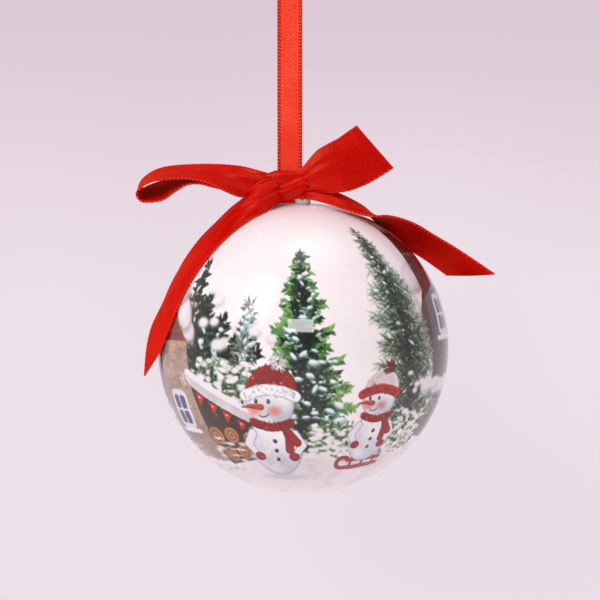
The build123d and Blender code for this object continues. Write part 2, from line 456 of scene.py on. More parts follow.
# Knot: the same ribbon wrapped once round the gathers. One smooth face shows at the upper left, over a
# bright fold that pulling it tight has left, and its pleats are hidden behind.
knot_y, knot_z, knot_half_depth, knot_half_height, knot_round = -5.0, -66.1, 2.75, 3.95, 0.7
knot_turn = np.radians(np.linspace(-176, 196, 250))[:, None]
knot_share = np.linspace(0, 1, 61)[None, :]
knot_back, knot_up = np.cos(knot_turn), np.sin(knot_turn)
knot_depth = knot_y - knot_half_depth * np.sign(knot_back) * abs(knot_back) ** knot_round
knot_height = knot_z + knot_half_height * np.sign(knot_up) * abs(knot_up) ** knot_round
knot_front, knot_hidden = np.clip(knot_back * 1.6, 0, 1), np.clip(-knot_back * 2, 0, 1)
knot_fall = np.clip((-62.2 - knot_height) / 7.8, 0, 1)
knot_left = -5.6 + 1.7 * np.clip(knot_fall * 5, 0, 1) + 1.6 * knot_fall**1.5
knot_left = knot_front * knot_left - 5.9 * (1 - knot_front)
knot_right = 4.4 * knot_front + 5.2 * (1 - knot_front)
knot_x = knot_left + (knot_right - knot_left) * knot_share
knot_swell = 1 - 0.3 * abs(2 * knot_share - 1) ** 7 + 0.03 * np.clip(knot_turn - math.pi * 0.95, 0, 1)
knot_swell = knot_swell + 0.17 * knot_hidden * np.sin(math.tau * (3.6 * knot_share + 0.12 * knot_height))
knot_folds = [  # from x and z to x and z, how far it stands out and how wide it is
    (-4.2, -68.4, 5.9, -64.2, 1.5, 0.55),
    (-4.2, -66.4, 5.4, -62.2, -0.5, 1.3),
    (-1.6, -70.9, 6.0, -66.5, -0.7, 0.5),
]
knot_rise = 0
for x0, z0, x1, z1, rise, wide in knot_folds:
    run = math.hypot(x1 - x0, z1 - z0)
    gap = ((knot_x - x0) * (z1 - z0) - (knot_height - z0) * (x1 - x0)) / run
    knot_rise = knot_rise + rise * np.exp(-((gap / wide) ** 2)) * knot_front
knot_sheet = np.stack(
    [
        knot_x,
        knot_y + (knot_depth - knot_y) * knot_swell - knot_rise * knot_back,
        knot_z + (knot_height - knot_z) * knot_swell,
    ],
    -1,
)
add_bow_ribbon("bow_knot_ribbon", "bow_knot", knot_sheet, "gathered")

# Printed paper: a winter scene, painted once round the ball on three glued panels under clear lacquer. It
# is drawn on a fine grid, in millimetres round the waist and up from it, and each corner of a panel's fine
# mesh takes the ink that lies there.
panel_columns = 324
art_turn = math.tau / 3 / panel_columns  # the angle between two corners of the mesh
art_step = ball_r * art_turn / 2  # the grid is twice as fine
art_rows = int(round(math.pi / art_turn)) * 2 + 2
art_columns = 3 * panel_columns * 2
panel_width = ball_r * math.tau / 3


def smooth_noise(random, cell):
    """Cloudy values from 0 to 1 over the whole artwork, with cells about that many millimetres wide."""
    high, wide = (max(3, int(n * art_step / cell)) for n in (art_rows, art_columns))
    coarse = random.random((high + 1, wide))
    coarse = np.hstack([coarse, coarse[:, :1]])
    down, along = np.linspace(0, high - 1e-6, art_rows), np.linspace(0, wide - 1e-6, art_columns)
    row, column = down.astype(int), along.astype(int)
    fr, fc = (down - row)[:, None], (along - column)[None, :]
    fr, fc = fr * fr * (3 - 2 * fr), fc * fc * (3 - 2 * fc)
    level = coarse[:, column] * (1 - fc) + coarse[:, column + 1] * fc
    return level[row] * (1 - fr) + level[row + 1] * fr


class Artwork:
    """Wet paint on paper: a call lays a colour, from 0 to 255 in red, green and blue, over what is there."""

    def __init__(self, random):
        self.ink = np.ones((art_rows, art_columns, 3))
        self.cloud = sum(smooth_noise(random, cell) * share for cell, share in ((9, 0.5), (3, 0.3), (1, 0.2)))

    def at(self, azimuth, height):
        """The ink at angles round the ball and above its waist, from the four grid squares about each."""
        x = (azimuth + math.radians(37)) * ball_r / art_step
        y = height * ball_r / art_step + art_rows / 2
        total = 0
        for dx in (0, 1):
            for dy in (-1, 0):
                row = np.clip(np.floor(y + dy + 0.5).astype(int), 0, art_rows - 1)
                total = total + self.ink[row, np.floor(x + dx + 0.5).astype(int) % art_columns]
        return total / 4

    def window(self, left, right, low, high):
        start, end = int(left / art_step) - 1, int(right / art_step) + 2
        middle = art_rows / 2
        foot, top = int(low / art_step + middle) - 1, int(high / art_step + middle) + 2
        rows = np.arange(max(0, foot), min(art_rows, top))
        columns = np.arange(start, end)
        x = (columns - 0.5) * art_step
        y = (rows + 0.5 - middle) * art_step
        return np.ix_(rows, columns % art_columns), x[None, :], y[:, None]

    def lay(self, place, cover, colour, mottle=0.0):
        """Colours the grid by cover. With mottle, the paint pools and thins like watercolour."""
        if cover.size == 0:
            return
        tone = 1 + mottle * (self.cloud[place] - 0.5)
        paint = np.clip(np.array(colour) / 255 * tone[..., None], 0, 1)
        cover = np.clip(cover, 0, 1)[..., None]
        self.ink[place] = self.ink[place] * (1 - cover) + paint * cover

    def blot(self, x, y, wide, high, colour, turn=0.0, soft=0.25, strength=1.0, mottle=0.0):
        """An oval, with a soft edge of that share of its size."""
        reach = max(wide, high) * (1 + soft)
        place, px, py = self.window(x - reach, x + reach, y - reach, y + reach)
        c, s = math.cos(turn), math.sin(turn)
        across, up = (px - x) * c + (py - y) * s, (py - y) * c - (px - x) * s
        out = np.sqrt((across / wide) ** 2 + (up / high) ** 2)
        self.lay(place, np.clip((1 + soft / 2 - out) / soft, 0, 1) * strength, colour, mottle)

    def stroke(self, points, widths, colour, strength=1.0, clip=None):
        """A brush stroke along points, with one width or one for each. It colours no x below clip."""
        widths = np.broadcast_to(widths, len(points))
        for (ax, ay), (bx, by), wa, wb in zip(points, points[1:], widths, widths[1:]):
            reach = max(wa, wb) / 2 + art_step
            left, right = min(ax, bx) - reach, max(ax, bx) + reach
            place, px, py = self.window(left, right, min(ay, by) - reach, max(ay, by) + reach)
            dx, dy = bx - ax, by - ay
            along = np.clip(((px - ax) * dx + (py - ay) * dy) / max(dx * dx + dy * dy, 1e-9), 0, 1)
            gap = np.hypot(px - ax - along * dx, py - ay - along * dy)
            cover = ((wa + (wb - wa) * along) / 2 - gap) / art_step + 0.5
            if clip is not None:
                cover = np.where(px < clip, 0, cover)
            self.lay(place, np.clip(cover, 0, 1) * strength, colour)

    def patch(self, outline, colour, round_it=True, strength=1.0, mottle=0.0):
        """A filled outline. Rounded, it is a smooth closed curve through its points."""
        points = np.array(outline, float)
        if round_it:
            points = closed_curve(points)
        low, high = points.min(0), points.max(0)
        place, px, py = self.window(low[0], high[0], low[1], high[1])
        inside = np.zeros(np.broadcast(px, py).shape, bool)
        for (ax, ay), (bx, by) in zip(points, np.roll(points, -1, 0)):
            if ay != by:
                crossing = ax + (py - ay) * (bx - ax) / (by - ay)
                inside ^= ((ay > py) != (by > py)) & (px < crossing)
        self.lay(place, inside * strength, colour, mottle)


def closed_curve(points, steps=8):
    """A smooth closed curve through the points."""
    before, after, later = np.roll(points, 1, 0), np.roll(points, -1, 0), np.roll(points, -2, 0)
    t = np.linspace(0, 1, steps, endpoint=False)[:, None, None]
    bend = 2 * before - 5 * points + 4 * after - later + t * (3 * (points - after) + later - before)
    curve = points + t / 2 * (after - before + t * bend)
    return curve.transpose(1, 0, 2).reshape(-1, 2)


def moved(x, y, *points):
    """The points, moved by x and y."""
    return [(x + px, y + py) for px, py in points]


def paint_sky_and_snow(art):
    """Pale pink sky over pale snow, with soft grey hollows."""
    up = (np.arange(art_rows)[:, None] + 0.5 - art_rows / 2) * art_step
    cloud = art.cloud
    high_sky, low_sky = np.array([251, 240, 242]) / 255, np.array([254, 250, 251]) / 255
    share = np.clip((up + 5) / 45, 0, 1)[..., None]
    art.ink[:] = low_sky * (1 - share) + high_sky * share
    art.ink -= np.clip(cloud - 0.5, 0, 1)[..., None] * np.array([0.005, 0.035, 0.025])
    snow = np.clip((-22 - up + 6 * (cloud - 0.5)) / 6, 0, 1)[..., None]
    bank = np.array([240, 233, 237]) / 255 - np.clip(cloud - 0.45, 0, 1)[..., None] * 0.16
    art.ink[:] = art.ink * (1 - snow) + bank * snow


def paint_spray(art, random, foot, top, reach, boughs, lift, leaf, tones, snow, clip=None):
    """A tree or twig: a stem, boughs to both sides of it, and leaves along each bough, darkest inside. reach
    is the longest bough and lift the boughs' angle at the foot and at the top. leaf is a leaf's length, its
    width and how many stand on a millimetre of bough. snow is the chance and the size of snow on one."""
    (fx, fy), (tx, ty) = foot, top
    art.stroke([foot, top], [0.09 * reach, 0.25], (52, 56, 46), clip=clip)
    for bough in range(boughs):
        depth = 1 - (bough + random.random()) / boughs
        side = 1 if bough % 2 else -1
        sx, sy = tx + (fx - tx) * depth, ty + (fy - ty) * depth
        length = reach * (0.1 + 0.9 * depth**1.05) * random.uniform(0.7, 1.12)
        rise = lift[1] + (lift[0] - lift[1]) * depth + random.normal(0, 0.12)
        joints = int(length * leaf[2]) + 2
        line = [(sx - 0.8 * side, sy)]
        for joint in range(joints):
            share = (joint + 1) / joints
            aim = rise - 0.5 * share + 0.35 * share**2
            jx = line[-1][0] + side * length / joints * math.cos(aim)
            jy = line[-1][1] + length / joints * math.sin(aim)
            line.append((jx, jy))
        art.stroke(line, 0.4, tones[0], clip=clip)
        for joint, (jx, jy) in enumerate(line[1:]):
            share = joint / joints
            for turn in (-1, 1):
                aim = rise - 0.4 * share + turn * random.uniform(0.3, 0.95)
                size = leaf[0] * random.uniform(0.7, 1.25) * (1.15 - 0.4 * share)
                tone = tones[int(np.clip(share + random.normal(0, 0.28), 0, 0.99) * len(tones))]
                mid = (jx + side * 0.5 * size * math.cos(aim), jy + 0.5 * size * math.sin(aim))
                end = (jx + side * size * math.cos(aim), jy + size * math.sin(aim))
                art.stroke([(jx, jy), mid, end], [leaf[1] * 0.4, leaf[1], leaf[1] * 0.2], tone, 0.95, clip)
            if random.random() < snow[0] and (clip is None or jx > clip + 1):
                big = snow[1] * random.uniform(0.45, 1.35) * (0.7 + 0.5 * depth)
                slope = side * (rise - 0.5 * share + random.normal(0, 0.35))
                thin = random.uniform(0.5, 0.8)
                art.blot(jx + 0.1, jy - 0.35 * big, 1.35 * big, thin * big, (118, 150, 146), slope, 0.5, 0.7)
                art.blot(jx, jy, 1.3 * big, 0.85 * thin * big, (204, 224, 226), slope, 0.4)
                art.blot(jx - 0.1, jy + 0.2 * big, 0.9 * big, 0.5 * thin * big, (246, 249, 251), slope, 0.6)


def scattered(random, count, left, right, low, high):
    """Random places in a rectangle, each drawn as it is used."""
    for _ in range(count):
        yield random.uniform(left, right), random.uniform(low, high)


def paint_puffs(art, random, x, y, wide, high, count, size):
    """Soft puffs of snow with a grey underside."""
    for _ in range(count):
        px, py = x + random.normal(0, wide / 2), y + random.uniform(-high / 2, high / 2)
        big = size * random.uniform(0.5, 1.2)
        art.blot(px + 0.2, py - 0.4 * big, 1.2 * big, 0.9 * big, (192, 190, 194), soft=0.8, strength=0.6)
        art.blot(px, py, 1.15 * big, 0.85 * big, (246, 242, 244), soft=0.6, strength=0.95)


def paint_shrubs(art, random, left, right, low, high):
    """Low snowy shrubs at the edge of the clearing."""
    for _ in range(int((right - left) * 26)):
        sx = random.uniform(left, right)
        sy = low + (high - low) * random.beta(1.2, 1.8)
        aim, size = random.uniform(0.2, math.pi - 0.2), random.uniform(0.7, 1.7)
        tone = random.choice([(52, 84, 58), (86, 120, 78), (120, 150, 104), (38, 58, 46), (150, 172, 138)])
        leaf = moved(sx, sy, (0, 0), (size * math.cos(aim), size * math.sin(aim)))
        art.stroke(leaf, [0.25, 0.6], tone, 0.9)
    drop = (high - low) / 10
    for sx, sy in scattered(random, int((right - left) * 5), left, right, low - drop, high - drop):
        wide, high_puff = random.uniform(0.5, 1.3), random.uniform(0.35, 0.8)
        art.blot(sx, sy, wide, high_puff, (246, 243, 245), soft=0.6, strength=0.9)


def paint_drift(art, x, y, wide, high, turn, shade, snow, slip):
    """A lump of snow on a roof: its shade, slipped to the lower right, its body and its lit top."""
    art.blot(x + slip[0], y - slip[1], wide, high, shade, turn, 0.35, 0.85)
    art.blot(x, y, wide * 0.95, high * 0.95, snow, turn, 0.3, mottle=0.15)
    art.blot(x - slip[0], y + 0.6, wide * 0.7, high * 0.7, (242, 236, 239), turn, 0.7)


def paint_cottage(art, random, x, y, wall_ink):
    """A plain cottage: a rendered wall with a four-pane window, a snowed-up roof and a lean-to with logs."""
    wall = moved(x, y, (-14, 4), (0.5, 5), (2, -12), (6, -30), (-2, -33), (-14, -31))
    art.patch(wall, wall_ink, False, mottle=0.5)
    streak = [c * 0.82 for c in wall_ink]
    for sx, sy in scattered(random, 90, x - 13, x + 1, y - 29, y + 3):
        art.blot(sx, sy, random.uniform(0.4, 1.6), 0.25, streak, soft=0.8, strength=0.4)
    roof = moved(x, y, (-14, 3), (2.0, 3.2), (0.4, 8), (-7, 14), (-14, 15))
    art.patch(roof, (138, 56, 40), False, mottle=0.7)
    for row in range(5):
        for tile in range(10):
            tx = x - 13.4 + tile * 1.7 + (row % 2) * 0.85
            art.blot(tx, y + 4.6 + row * 2.4, 0.8, 1.1, (106, 40, 30), soft=0.5, strength=0.45)
    for bead in range(13):
        bx, by = x - 13 + bead * 1.2, y + 2.4 + 0.35 * math.sin(bead * 1.7)
        art.blot(bx, by, 0.3, 0.3, (236, 196, 96), soft=0.5)
    drifts = (0.6, 6.2, 3.4, 2.2, -0.9), (-2.2, 10.2, 3.0, 4.6, 0.6), (-8, 14.5, 5.6, 3.2, 0.35)
    for sx, sy, *drift in drifts:
        paint_drift(art, x + sx, y + sy, *drift, (176, 162, 166), (222, 212, 216), (0.5, 0.7))
    window = x - 5.5, y - 14.5
    art.patch(arched(*window, 4.2, 5.4), (232, 228, 236), False)
    for px, py in moved(*window, *((side * 1.55, level * 2.1) for side in (-1, 1) for level in (-1, 1))):
        art.patch(arched(px, py, 1.3, 1.8), (74, 72, 122), False, mottle=0.7)
        art.stroke(moved(px, py, (-0.7, -0.6), (0.2, 1.0)), 0.3, (126, 124, 168), 0.7)
    art.stroke(moved(*window, (-4.9, -5.9), (4.9, -5.9)), 1.3, (240, 236, 240))
    for turn in np.arange(6) * math.pi / 3:
        petal = moved(x - 1.5, y - 6, (0, 0), (1.5 * math.cos(turn), 1.5 * math.sin(turn)))
        art.stroke(petal, [0.25, 0.5], (226, 214, 206))
    paint_puffs(art, random, x - 7, y - 32, 14, 2.5, 40, 1.5)
    porch = moved(x, y, (1.2, -6.5), (20, -16.5), (19, -28), (5.5, -31))
    art.patch(porch, (74, 54, 46), False, mottle=0.7)
    logs = (5.8, -21.2, 3.1), (11.6, -20.6, 2.7), (8.2, -27.0, 3.0), (14.0, -26.0, 2.8), (17.4, -21.4, 2.2)
    for lx, ly, size in logs:
        art.blot(x + lx, y + ly, size, size * 0.96, (96, 62, 40), soft=0.12)
        for ring in range(4):
            grown = size * (0.86 - ring * 0.22)
            tone = [(196, 146, 100), (150, 98, 60)][ring % 2]
            art.blot(x + lx, y + ly, grown, grown, tone, soft=0.2, mottle=0.3)
    for lx, ly in moved(x, y, (10, -23.4), (5, -25), (14.5, -23.2), (12, -29)):
        art.blot(lx, ly, 1.6, 0.6, (240, 234, 236), soft=0.6, strength=0.9)
    for flag in range(4):
        fx, fy = x + 4.2 + flag * 4.0, y - 10.2 - flag * 2.15
        pennant = moved(fx, fy, (-1.3, 1.0), (1.3, -0.3), (-0.5, -2.6))
        art.patch(pennant, (196, 54, 56), False, mottle=0.5)
        art.blot(fx - 0.2, fy - 0.4, 0.3, 0.3, (246, 222, 214), soft=0.4)
    eave = moved(x, y, (0.2, -3.6), (8, -7.4), (21, -13.6), (20.6, -17.2), (8, -11.4), (0.6, -7.0))
    art.patch(eave, (214, 208, 212), mottle=0.25)
    art.stroke(moved(x, y, (0.6, -4.3), (8.5, -8.2), (20, -13.8)), [1.6, 1.8, 1.4], (244, 240, 242))


def paint_gable(art, random, x):
    """The dark gable of the higher cottage, with its red-brown roof under snow."""
    gable = moved(x, 0, (-22, 6), (-11, 20), (-2, 24), (0, -24), (-17, -22), (-15, -4))
    art.patch(gable, (98, 84, 84), False, mottle=0.9)
    roof = moved(x, 0, (-24, 4), (-12, 21), (0, 28), (0, 18), (-10, 13), (-19, -1))
    art.patch(roof, (92, 50, 42), False, mottle=0.8)
    for sx, sy in scattered(random, 120, x - 16, x, -22, 16):
        wide, high = random.uniform(0.5, 2.2), random.uniform(0.2, 0.6)
        art.blot(sx, sy, wide, high, (62, 52, 58), soft=0.8, strength=0.5)
    drifts = [(-28, 19, 3.6, 3.4), (-23.5, 13, 3.8, 5.6), (-18, 20, 5.5, 3.6)]
    drifts += [(-11, 25.5, 6, 3.2), (-3, 28, 6, 3)]
    for sx, sy, *drift in drifts:
        paint_drift(art, x + sx, sy, *drift, 0.5, (186, 172, 176), (226, 216, 219), (0.4, 0.8))


def arched(x, y, half, tall):
    """The outline of a window or pane with rounded corners."""
    turns = np.linspace(0, math.tau, 24, endpoint=False)
    across, up = np.cos(turns), np.sin(turns)
    across, up = (np.copysign(abs(part) ** 0.45, part) for part in (across, up))
    return np.stack([x + half * across, y + tall * up], -1)


def paint_snowball(art, x, y, wide, high):
    """One ball of a snowman: white, with a blue-grey shade low on the right and a thin drawn outline."""
    art.blot(x, y, wide, high, (122, 120, 146), soft=0.05, strength=0.8)
    art.blot(x, y, wide - 0.2, high - 0.2, (206, 210, 222), soft=0.06)
    art.blot(x - wide * 0.07, y + high * 0.06, wide * 0.9, high * 0.9, (248, 245, 246), soft=0.3, mottle=0.08)
    art.blot(x + wide * 0.28, y - high * 0.42, wide * 0.5, high * 0.4, (192, 196, 214), -0.5, 1.2, 0.55, 0.5)
    art.blot(x - wide * 0.5, y - high * 0.1, wide * 0.3, high * 0.5, (208, 208, 222), 0.2, 1.4, 0.5, 0.6)


def paint_snowman(art, random, x, y, size, hat, brim, bobble):
    """A plain snowman of two balls with a knitted hat, a scarf, mittens and three buttons."""

    def at(points):
        return [(x + px * size, y + py * size) for px, py in points]

    def blot(px, py, wide, high, colour, **how):
        art.blot(x + px * size, y + py * size, wide * size, high * size, colour, **how)

    def stroke(points, widths, colour, strength=1.0):
        art.stroke(at(points), np.array(widths) * size, colour, strength)

    red, dark_red = (176, 38, 34), (122, 22, 26)
    paint_snowball(art, x, y - 9.8 * size, 8.2 * size, 9.6 * size)
    for side in (-1, 1):
        arm = [(side * 6.0, -4.5), (side * 8.2, -8.0), (side * 6.2, -11.2)]
        stroke(arm, [2.6, 2.7, 2.2], (150, 150, 172))
        stroke(arm, [2.2, 2.3, 1.8], (240, 238, 243))
        blot(side * 5.6, -12.0, 1.7, 1.5, dark_red, soft=0.15)
        blot(side * 5.5, -11.8, 1.35, 1.15, red, soft=0.4)
    for drop in (0, 3.1, 6.2):
        blot(0.2, -6.8 - drop, 0.62, 0.66, (34, 28, 34), soft=0.3)
        blot(0.0, -6.6 - drop, 0.2, 0.2, (190, 190, 200), soft=0.5)
    paint_snowball(art, x, y + 3.6 * size, 6.3 * size, 5.9 * size)
    for side in (-1, 1):
        blot(side * 2.6 - 1.6, 1.9, 1.5, 1.15, (238, 140, 136), soft=1.0, strength=0.75)
        blot(side * 1.6 - 2.0, 4.3, 0.42, 0.62, (30, 26, 34))
        blot(side * 1.6 - 2.15, 4.5, 0.14, 0.17, (235, 235, 240), soft=0.5)
    stroke([(-2.4, 2.8), (-5.0, 3.0), (-7.6, 2.7)], [1.5, 1.1, 0.3], (120, 52, 30))
    stroke([(-2.4, 2.9), (-5.0, 3.1), (-7.3, 2.8)], [1.1, 0.8, 0.2], (204, 98, 50))
    smile = [(1.7 * math.cos(a) - 2.0, 1.9 + 1.7 * math.sin(a)) for a in np.linspace(-2.3, -0.6, 7)]
    stroke(smile, 0.26, (62, 44, 52))
    scarf = [(-5.4, -0.4), (0, -1.7), (5.4, -0.4), (5.6, -2.4), (0, -3.9), (-5.6, -2.4)]
    art.patch(at(scarf), dark_red)
    art.patch(at(moved(0, 0.25, *scarf)), red, strength=0.85, mottle=0.5)
    for tail in (0, 1):
        fall = [(3.2, -2.4), (4.4 + tail, -5.6), (4.4 + tail * 2.2, -9.6 + tail * 2.4)]
        stroke(fall, [1.8, 2.3, 2.6], dark_red)
        stroke(fall, [1.3, 1.8, 2.0], red)
    for fold in np.linspace(-4.6, 4.6, 8):
        stroke([(fold, -0.9 - 0.03 * fold**2), (fold + 0.5, -2.8)], 0.25, dark_red, 0.7)
    cap = [(-5.7, 6.2), (-4.7, 10.0), (-0.8, 13.0), (3.4, 12.6), (6.4, 9.6), (6.3, 6.0), (0, 7.4)]
    art.patch(at(cap), [c * 0.62 for c in hat])
    art.patch(at(moved(-0.25, 0.05, *cap)), hat, strength=0.9, mottle=0.45)
    for rib in np.linspace(-4.2, 4.2, 8):
        line = [(rib, 7.2), (rib * 0.85 + 0.6, 10.2), (rib * 0.3 + 1.6, 12.5)]
        stroke(line, [0.3, 0.26, 0.2], [c * 0.78 for c in hat], 0.55)
    pale, shade = ((250, 248, 250), (196, 198, 214)) if brim else ((206, 60, 54), (140, 28, 32))
    band = [(share * 6.4, 7.2 - 1.7 * share**2) for share in np.linspace(-1, 1, 9)]
    stroke(band, 2.9, shade)
    stroke(moved(0, 0.15, *band), 2.5, pale)
    for puff in range(90):
        share = random.uniform(-1, 1)
        puff_y = 7.2 - 1.7 * share**2 + random.normal(0, 0.8)
        blot(share * 6.6, puff_y, 0.3, 0.26, shade if puff % 3 else pale, soft=0.8, strength=0.7)
    for _ in range(46):
        aim, out = random.uniform(0, math.tau), 1.7 * math.sqrt(random.random())
        c, s = math.cos(aim), math.sin(aim)
        depth = random.uniform(0.7, 1.05)
        tuft = moved(2.4 + out * c, 13.8 + out * s, (0, 0), (0.8 * c, 0.8 * s))
        stroke(tuft, [0.5, 0.3], [ink * depth for ink in bobble])


def paint_sledge(art, x, y):
    """A small red sledge with a curled runner."""
    curl = [(2.1 * math.cos(a) - 5.6, 1.6 + 2.1 * math.sin(a)) for a in np.linspace(0.6, 4.7, 12)]
    runner = moved(x, y, *curl, (0, -0.2), (8.6, 1.2))
    for grow, tone in ((1.5, (96, 18, 22)), (1.0, (186, 42, 40))):
        art.stroke(runner, [0.9 * grow] * 12 + [1.1 * grow, 0.9 * grow], tone)
        art.stroke(moved(x, y, (-4, 2.6), (8, 3.4)), 0.9 * grow, tone)
        for post in (-2.5, 2.0, 6.4):
            art.stroke(moved(x, y, (post, 0.2), (post, 3.0)), 0.6 * grow, tone)


def paint_scene(art, random):
    """The picture on the three panels, from the sky to the front: each panel has a cottage on its left and a
    pine on its right, and every second cottage stands higher."""
    starts = [panel_width * panel for panel in range(3)]
    needles = [(46, 58, 48), (68, 86, 72), (100, 116, 98), (134, 148, 128), (172, 182, 164), (198, 206, 190)]
    leaves = [(18, 38, 30), (32, 60, 44), (54, 92, 60), (86, 128, 76), (116, 160, 96), (146, 186, 120)]
    dark_leaves = [(28, 38, 28), (24, 42, 30), (46, 72, 44), (80, 108, 66), (34, 48, 34)]
    frosted = [(140, 146, 142), (112, 124, 112), (70, 90, 68), (38, 52, 40), (24, 32, 28)]
    wall_inks = (174, 150, 136), (112, 102, 104), (174, 150, 136)
    paint_gable(art, random, starts[1])
    for x in starts:
        clip = x + panel_width / 2
        for top, foot, reach in (((48.5, 30), (56.5, -16), 13), ((46.2, 34), (55, -14), 15)):
            tree = *moved(x, 0, foot, top), reach, 46, (0.1, 0.75), (2.9, 0.32, 1.8)
            paint_spray(art, random, *tree, needles, (0.04, 0.7), clip)
        paint_shrubs(art, random, x + 50, x + 64, -27, -11)
    for x, shift, rise, wall_ink in zip(starts, (0, 7.5, 0), (0, 24, 0), wall_inks):
        paint_puffs(art, random, x - 5, 8, 7, 16, 26, 1.6)
        for foot, top in (((-4, -7), (-8.6, 22)), ((-3, -7), (-2.5, 13)), ((0, -8), (3.4, 8))):
            twig = *moved(x, 0, foot, top), 8.0, 17, (0.7, 1.05), (2.8, 1.1, 0.65)
            paint_spray(art, random, *twig, dark_leaves, (0.12, 1.0))
        paint_puffs(art, random, x + 8.5, 3, 7, 12, 22, 1.5)
        twig = (x + 8.5, -9), (x + 10.4, 13), 7.5, 17, (0.75, 1.1), (2.3, 0.75, 0.7)
        paint_spray(art, random, *twig, frosted, (0.3, 1.1))
        paint_puffs(art, random, x - 2, 2, 14, 18, 14, 1.3)
        paint_shrubs(art, random, x - 4, x + 14, -12, 0)
        paint_cottage(art, random, x - 9 + shift, rise, wall_ink)
    for x in starts:
        for layer, reach in ((0.7, 10), (0.85, 13), (1.0, 15.5)):
            top = x + 22.8 + 0.4 * layer, 26 * layer + 0.4
            tree = (x + 25.6, -25), top, reach, 34, (-0.15, 0.8), (2.3, 0.95, 0.85)
            paint_spray(art, random, *tree, leaves, (0.26, 1.0))
        paint_shrubs(art, random, x + 26, x + 38, -26, -17)
        for _ in range(60):
            sx, sy = x + random.uniform(-6, 62), random.normal(-25.5, 2.2)
            wide, high = random.uniform(0.6, 2.4), random.uniform(0.3, 0.8)
            art.blot(sx, sy, wide, high, (242, 237, 240), soft=0.8, strength=0.8)
        art.blot(x + 17, -35.6, 9, 1.6, (206, 202, 214), soft=0.9, strength=0.7)
        paint_snowman(art, random, x + 15.8, -15.0, 1.0, (178, 44, 36), True, (240, 236, 242))
        art.blot(x + 46, -31, 8, 1.4, (206, 202, 214), soft=0.9, strength=0.7)
        paint_sledge(art, x + 43.5, -31.2)
        paint_snowman(art, random, x + 44.4, -13.6, 0.8, (232, 218, 220), False, (140, 24, 32))
        for sx, sy in scattered(random, 420, x - 20, x + 58, -34, 40):
            art.blot(sx, sy, 0.17, 0.17, (255, 253, 254), soft=0.6, strength=random.uniform(0.4, 0.95))


panel_rows = 470
paper_thickness = 0.4
seam_azimuth = math.radians(23)
hole_r = 5.7


def ball_points(azimuth, height, radius):
    """Points on the ball by the angle round it from the front, the angle above its waist and the radius."""
    out = radius * np.cos(height)
    place = np.stack([out * np.sin(azimuth), -out * np.cos(azimuth), radius * np.sin(height)], -1)
    return place + ball_middle


def coarse_faces(grid, step):
    """Wide faces for the hidden side: one for every step rows and columns, with the fine edge kept."""
    rows, columns = grid.shape[0] - 1, grid.shape[1] - 1
    faces = []
    for r in range(0, rows, step):
        for c in range(0, columns, step):
            r1, c1 = min(r + step, rows), min(c + step, columns)
            left = grid[r : r1 + 1, c] if c == 0 else grid[[r, r1], c]
            under = grid[r1, c : c1 + 1] if r1 == rows else grid[r1, [c, c1]]
            right = grid[r : r1 + 1, c1] if c1 == columns else grid[[r, r1], c1]
            over = grid[r, c : c1 + 1] if r == 0 else grid[r, [c, c1]]
            faces.append(np.concatenate([over[:-1], right[:-1], under[:0:-1], left[:0:-1]]))
    return faces


def add_panel(node, start, art, material):
    """A thin paper shell from the hole round the peg down to the foot of the ball."""
    turn = start + np.arange(panel_columns + 1) * art_turn
    shift = ball_middle[0]
    reach = np.sqrt(hole_r**2 - (shift * np.cos(turn)) ** 2) - shift * np.sin(turn)
    top = math.pi / 2 - np.arcsin(reach / ball_r)
    share = np.linspace(0, 1, panel_rows + 1)[:, None]
    height = top[None, :] + (math.radians(-89.8) - top[None, :]) * share
    azimuth = np.broadcast_to(turn[None, :], height.shape)
    edge = np.minimum(azimuth - turn[0], turn[-1] - azimuth) * np.cos(height) * ball_r
    sway = 0.012 * (np.sin(azimuth * 9 + 2 * np.sin(height * 5)) + np.sin(height * 11 + azimuth * 4))
    radius = ball_r - 0.018 * np.exp(-((edge / 0.22) ** 2)) + sway
    count = height.size
    grid = np.arange(count).reshape(height.shape)
    rim = border(grid)
    hidden = np.full(count, -1)
    step = 10
    kept = np.zeros(grid.shape, bool)
    kept[::step, ::step] = kept[[0, -1], :] = kept[:, [0, -1]] = True
    hidden[grid[kept]] = count + np.arange(kept.sum())
    outside = ball_points(azimuth, height, radius).reshape(-1, 3)
    inside = ball_points(azimuth[kept], height[kept], ball_r - paper_thickness)
    points = np.concatenate([outside, inside])
    ahead = np.roll(rim, -1)
    sides = np.stack([rim, ahead, hidden[ahead], hidden[rim]], -1)
    inner = [hidden[face] for face in coarse_faces(grid, step)]
    name = node.replace("print_panel", "printed_paper")
    panel = add_piece(name, points / 1000, [*quads(grid), *sides, *inner], material)
    ink = np.ones((len(points), 4), np.float32)
    ink[:, :3] = 0.93
    ink[:count, :3] = art.at(azimuth, height).reshape(-1, 3)
    colours = panel.data.color_attributes.new("print", "BYTE_COLOR", "POINT")
    colours.data.foreach_set("color_srgb", ink.ravel())
    panel.data.set_sharp_from_angle(angle=math.radians(50))
    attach(panel, "ball")
    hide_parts(node)
    return panel


artwork = Artwork(np.random.default_rng(7))
paint_sky_and_snow(artwork)
paint_scene(artwork, np.random.default_rng(20))

